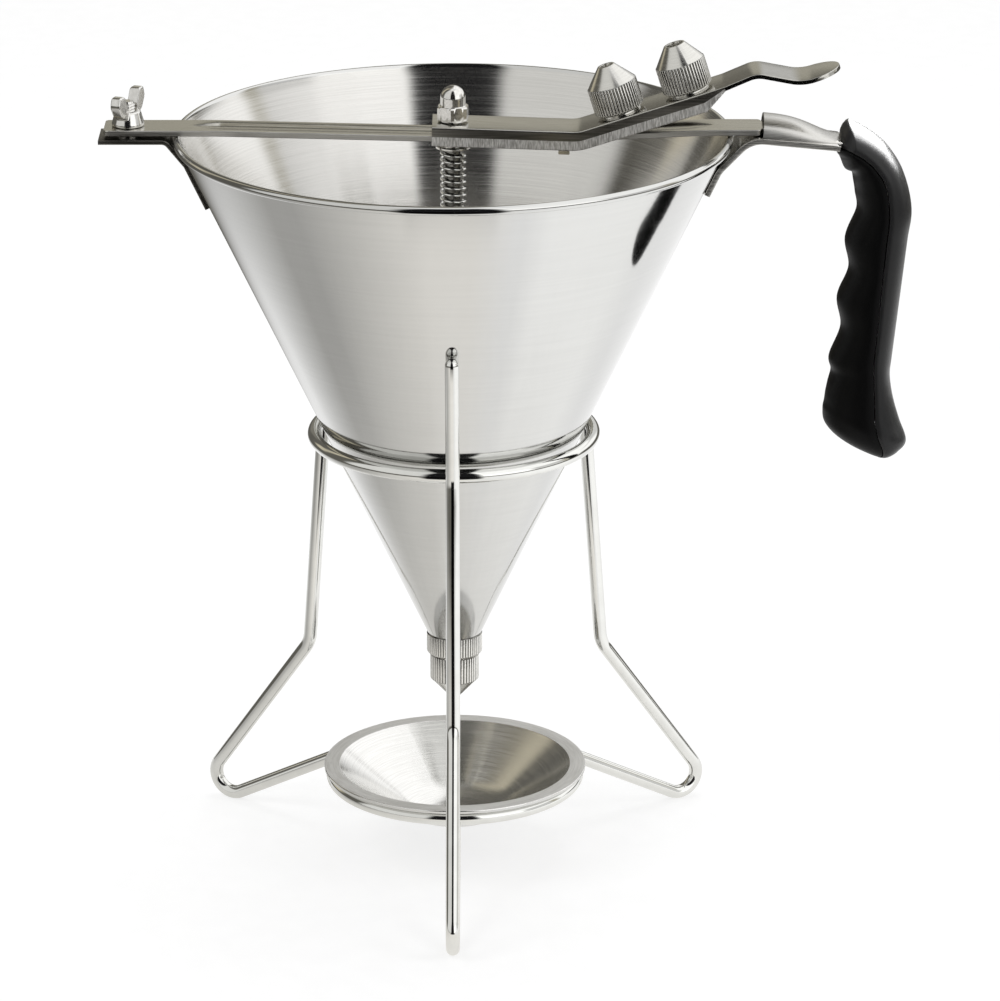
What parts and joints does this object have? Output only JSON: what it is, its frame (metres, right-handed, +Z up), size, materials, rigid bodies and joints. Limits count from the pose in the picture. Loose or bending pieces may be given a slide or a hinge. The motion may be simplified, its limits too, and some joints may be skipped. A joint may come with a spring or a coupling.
{
  "type": "confectionery funnel",
  "caption": "Conical piston funnel with thumb lever, sprung plunger, screw-on nozzles and black grip, hanging by its cone in a wire stand over a dished drip bowl.",
  "frame": {"origin": "on the worktop, on the funnel's axis, in the middle of the three feet", "axes": "+Z up along the funnel's axis, +X along the bar towards the grip, one leg towards -Y"},
  "size_m": [0.276, 0.1977, 0.2936],
  "materials": {
    "polished_wire": "bright polished wire",
    "polished_steel": "mirror polished outside, ring brushed inside",
    "brushed_steel": "satin brushed sheet",
    "turned_steel": "turned and straight knurled",
    "spring_steel": "drawn wire",
    "black_plastic": "satin moulded",
    "silicone": "matt food grade silicone"
  },
  "bodies": {
    "stand": {"stand_ring": "polished_wire", "bowl_ring": "polished_wire", "leg_front": "polished_wire", "leg_left": "polished_wire", "leg_right": "polished_wire"},
    "bowl": {"drip_bowl": "brushed_steel"},
    "funnel": {"cone_body": "polished_steel", "outlet_collar": "turned_steel", "bar_bracket": "brushed_steel", "clamp_stud": "polished_steel", "cross_bar": "brushed_steel", "rod_guide": "brushed_steel", "handle_strap": "brushed_steel", "socket_hood": "brushed_steel", "grip_finger_shell": "black_plastic", "grip_spine_shell": "black_plastic", "upper_washer": "brushed_steel", "spring": "spring_steel"},
    "lever": {"lever": "brushed_steel", "keeper_strip": "brushed_steel", "medium_stud": "turned_steel", "large_stud": "turned_steel"},
    "plunger": {"plunger_rod": "brushed_steel", "acorn_nut": "polished_steel", "lower_washer": "brushed_steel", "retaining_clip": "brushed_steel", "stopper": "silicone"},
    "wing_nut": {"wing_nut": "polished_steel"},
    "fitted_nozzle": {"fitted_nozzle": "turned_steel"},
    "medium_nozzle": {"medium_nozzle": "turned_steel"},
    "large_nozzle": {"large_nozzle": "turned_steel"}
  },
  "joints": [
    {"name": "funnel_lift", "type": "slide", "parent": "stand", "child": "funnel", "axis": [0, 0, 1], "range_m": [0, 0.15]},
    {"name": "bowl_lift", "type": "slide", "parent": "stand", "child": "bowl", "axis": [0, 0, 1], "range_m": [0, 0.015]},
    {"name": "lever_press", "type": "hinge", "parent": "funnel", "child": "lever", "pos_m": [0.042, 0, 0.26257], "axis": [0, 1, 0], "range_deg": [0, 10]},
    {"name": "plunger_lift", "type": "slide", "parent": "funnel", "child": "plunger", "axis": [0, 0, 1], "range_m": [0, 0.009], "stiffness_N_per_m": 600, "springref_m": -0.012, "deforming": ["spring"]},
    {"name": "wing_nut_turn", "type": "hinge", "parent": "funnel", "child": "wing_nut", "pos_m": [-0.11, 0, 0.2642], "axis": [0, 0, 1], "range_deg": [0, 450]},
    {"name": "fitted_nozzle_turn", "type": "hinge", "parent": "funnel", "child": "fitted_nozzle", "pos_m": [0, 0, 0.0741], "axis": [0, 0, -1], "range_deg": [0, 450]},
    {"name": "medium_nozzle_turn", "type": "hinge", "parent": "lever", "child": "medium_nozzle", "pos_m": [0.05673, 0, 0.26896], "axis": [-0.304, 0, 0.9527], "range_deg": [0, 450]},
    {"name": "large_nozzle_turn", "type": "hinge", "parent": "lever", "child": "large_nozzle", "pos_m": [0.07969, 0, 0.27629], "axis": [-0.304, 0, 0.9527], "range_deg": [0, 450]}
  ],
  "couplings": [
    {"joint": "plunger_lift", "follows": "lever_press", "m_per_rad": 0.0488}
  ]
}
